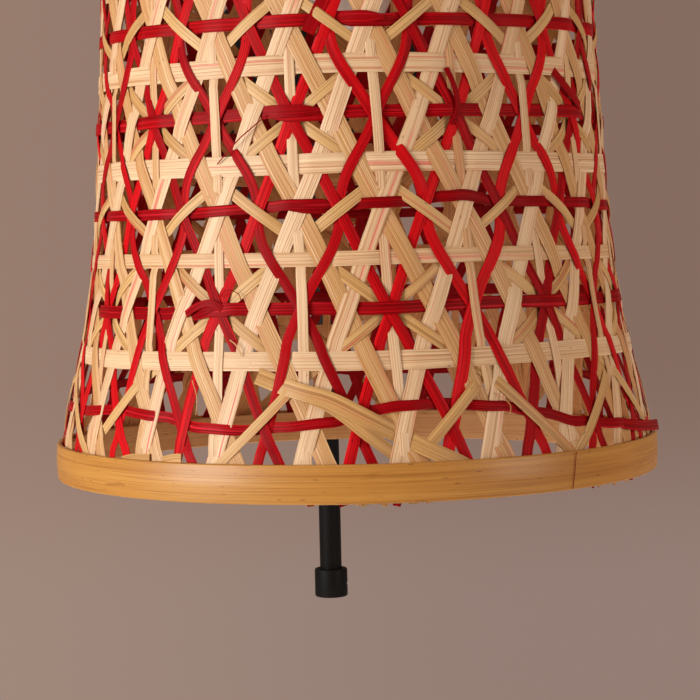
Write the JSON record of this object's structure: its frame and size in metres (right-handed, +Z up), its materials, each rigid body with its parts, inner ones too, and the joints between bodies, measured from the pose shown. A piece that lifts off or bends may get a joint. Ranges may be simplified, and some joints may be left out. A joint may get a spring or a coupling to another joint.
{
  "type": "woven wall lantern",
  "caption": "Woven bamboo lantern with a flared, open shade and bamboo rim hoops, hung from a swing arm on a vertical rod with a round wall cover.",
  "frame": {"origin": "centre of the wall fixture's back face, where it meets the wall", "axes": "+Z up, +Y into the wall, +X to the right of someone facing the wall; the lamp hangs on the -Y side"},
  "size_m": [0.3, 0.405, 0.4771],
  "materials": {
    "black_metal": "satin black powder coat",
    "zinc_steel": "zinc plated",
    "brass": "plain",
    "nylon": "moulded",
    "black_plastic": "fine moulded grain",
    "opal_glass": "opal",
    "hoop_bamboo": "lacquered bamboo with straight grain",
    "natural_splint": "split bamboo, fine straight grain",
    "red_splint": "red-dyed split bamboo"
  },
  "bodies": {
    "wall_fixture": {"mounting_bar": "zinc_steel", "wall_cover": "black_metal", "cover_screw_left": "black_metal", "cover_screw_right": "black_metal", "terminal_block": "nylon", "cord_bush": "black_plastic", "standoff_upper": "black_metal", "standoff_bolt_upper": "zinc_steel", "clamp_screw_upper": "zinc_steel", "standoff_lower": "black_metal", "standoff_bolt_lower": "zinc_steel", "clamp_screw_lower": "zinc_steel", "pivot_rod": "black_metal", "rod_end_collar": "black_metal", "rod_end_screw": "zinc_steel", "hub_collar": "black_metal", "hub_collar_screw": "zinc_steel", "rod_top_cap": "black_metal"},
    "swing_arm": {"arm_hub": "black_metal", "arm_set_screw": "zinc_steel", "hub_washer": "nylon", "arm_rod": "black_metal", "arm_pin": "black_metal", "arm_end_nut": "black_metal"},
    "lamp": {"hanger_block": "black_metal", "drop_rod": "black_metal", "drop_lock_nut": "black_metal", "lampholder_cap": "black_metal", "cord_grip": "black_plastic", "lampholder_body": "black_plastic", "lampholder_contact": "brass", "shade_ring": "black_plastic", "spider_ring": "black_metal", "spider_wire_1": "black_metal", "spider_wire_2": "black_metal", "spider_wire_3": "black_metal", "bulb_glass": "opal_glass", "bulb_cap": "zinc_steel", "bulb_contact": "brass", "rim_hoop_outer": "hoop_bamboo", "rim_hoop_inner": "hoop_bamboo", "top_hoop_outer": "hoop_bamboo", "top_hoop_inner": "hoop_bamboo", "weave_wall": "natural_splint", "natural_splint_ring_1": "natural_splint", "natural_splint_ring_2": "natural_splint", "natural_splint_ring_3": "natural_splint", "natural_splint_ring_4": "natural_splint", "natural_splint_ring_5": "natural_splint", "red_splint_ring_1": "red_splint", "red_splint_ring_2": "red_splint", "red_splint_ring_3": "red_splint", "red_splint_ring_4": "red_splint", "red_splint_ring_5": "red_splint", "red_splint_ring_6": "red_splint"}
  },
  "joints": [
    {"name": "arm_swing", "type": "hinge", "parent": "wall_fixture", "child": "swing_arm", "pos_m": [0, -0.05, 0.142], "axis": [0, 0, 1], "range_deg": [-45, 45]},
    {"name": "lamp_sway", "type": "hinge", "parent": "swing_arm", "child": "lamp", "pos_m": [0, -0.255, 0.142], "axis": [0, 1, 0], "range_deg": [-10, 10]}
  ]
}
